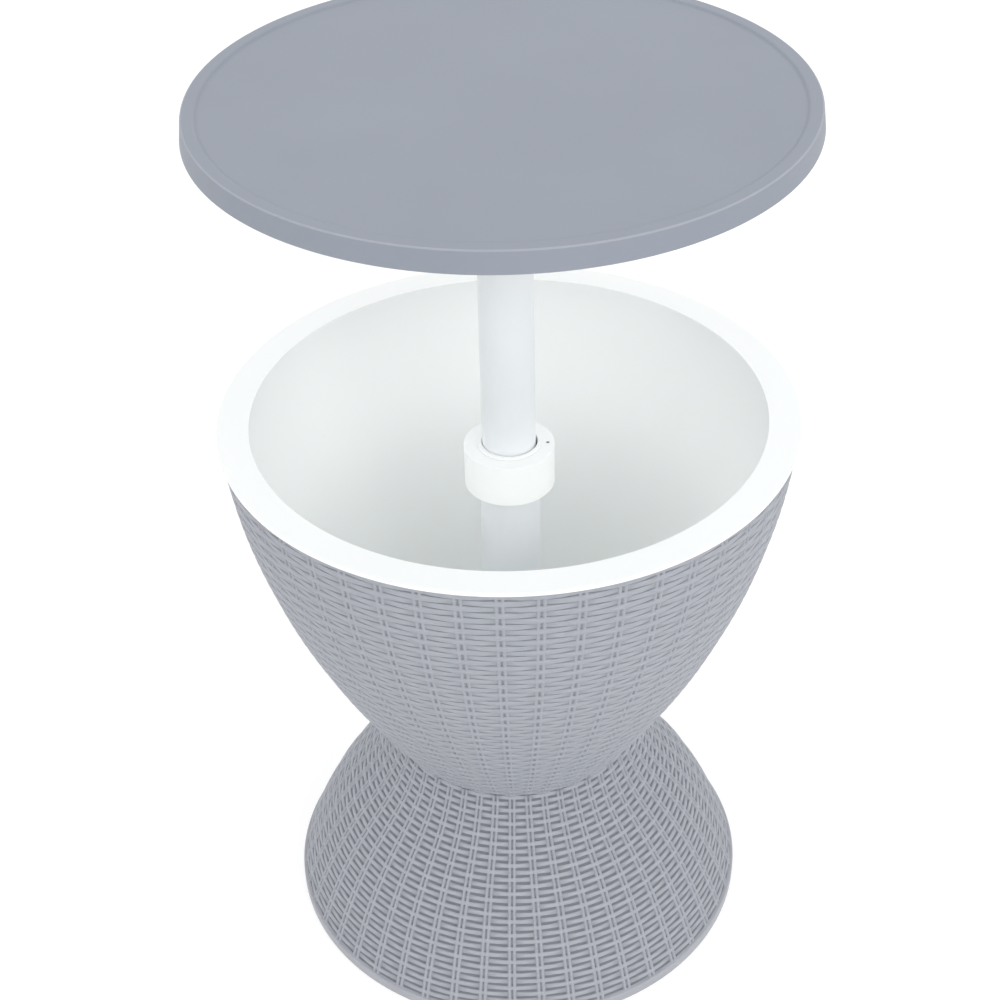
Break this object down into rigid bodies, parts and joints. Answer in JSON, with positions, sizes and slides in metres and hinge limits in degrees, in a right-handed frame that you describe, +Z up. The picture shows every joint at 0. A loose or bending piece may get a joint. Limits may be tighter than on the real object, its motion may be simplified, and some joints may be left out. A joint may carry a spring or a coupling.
{
  "type": "ice bucket coffee table",
  "caption": "Round side table whose top rides a telescoping twist-lock pole over a woven-look ice bucket on a flared base.",
  "frame": {"origin": "on the floor, on the vertical axis of the table, at the centre of the base rim", "axes": "+Z up along the pole, -Y towards the viewer of the picture, +X to the right"},
  "size_m": [0.504, 0.504, 0.841],
  "materials": {
    "woven_resin": "satin moulded rattan relief",
    "tabletop_resin": "fine satin moulded",
    "liner_white": "smooth satin white",
    "pole_white": "semi-gloss white powder coat",
    "fitting_grey": "satin",
    "seal_black": "matte",
    "screw_steel": "zinc plated"
  },
  "bodies": {
    "body": {"base_shell": "woven_resin", "bucket_shell": "woven_resin", "bucket_liner": "liner_white", "waist_screw_1": "screw_steel", "waist_screw_2": "screw_steel", "waist_screw_3": "screw_steel", "waist_screw_4": "screw_steel", "waist_screw_5": "screw_steel", "waist_screw_6": "screw_steel", "column_tube": "pole_white", "column_seal": "seal_black", "column_nut": "fitting_grey", "column_end_cap": "fitting_grey", "locking_collar": "liner_white", "collar_bush": "liner_white", "collar_pin": "screw_steel", "drain_outlet": "liner_white", "drain_seal": "seal_black", "drain_nut": "fitting_grey"},
    "lock": {"lock_ring": "fitting_grey"},
    "top": {"pole_tube": "pole_white", "pole_plug": "fitting_grey", "plug_rivet_1": "screw_steel", "plug_rivet_2": "screw_steel", "lock_washer": "screw_steel", "lock_screw": "screw_steel", "tabletop_top": "tabletop_resin", "tabletop_underside": "tabletop_resin", "tabletop_screw_1": "screw_steel", "tabletop_screw_2": "screw_steel", "tabletop_screw_3": "screw_steel", "tabletop_screw_4": "screw_steel", "tabletop_screw_5": "screw_steel", "tabletop_screw_6": "screw_steel", "tabletop_screw_7": "screw_steel", "tabletop_screw_8": "screw_steel", "pole_hub": "fitting_grey", "hub_screw_1": "screw_steel", "hub_screw_2": "screw_steel", "hub_screw_3": "screw_steel", "hub_screw_4": "screw_steel", "hub_set_screw": "screw_steel"},
    "plug": {"drain_plug": "fitting_grey", "drain_plug_seal": "seal_black"}
  },
  "joints": [
    {"name": "pole_lift", "type": "slide", "parent": "body", "child": "lock", "axis": [0, 0, 1], "range_m": [-0.274, 0]},
    {"name": "top_twist", "type": "hinge", "parent": "lock", "child": "top", "pos_m": [0, 0, 0.435], "axis": [0, 0, 1], "range_deg": [0, 90]},
    {"name": "drain_plug_pull", "type": "slide", "parent": "body", "child": "plug", "axis": [0, 0, 1], "range_m": [0, 0.03]}
  ]
}
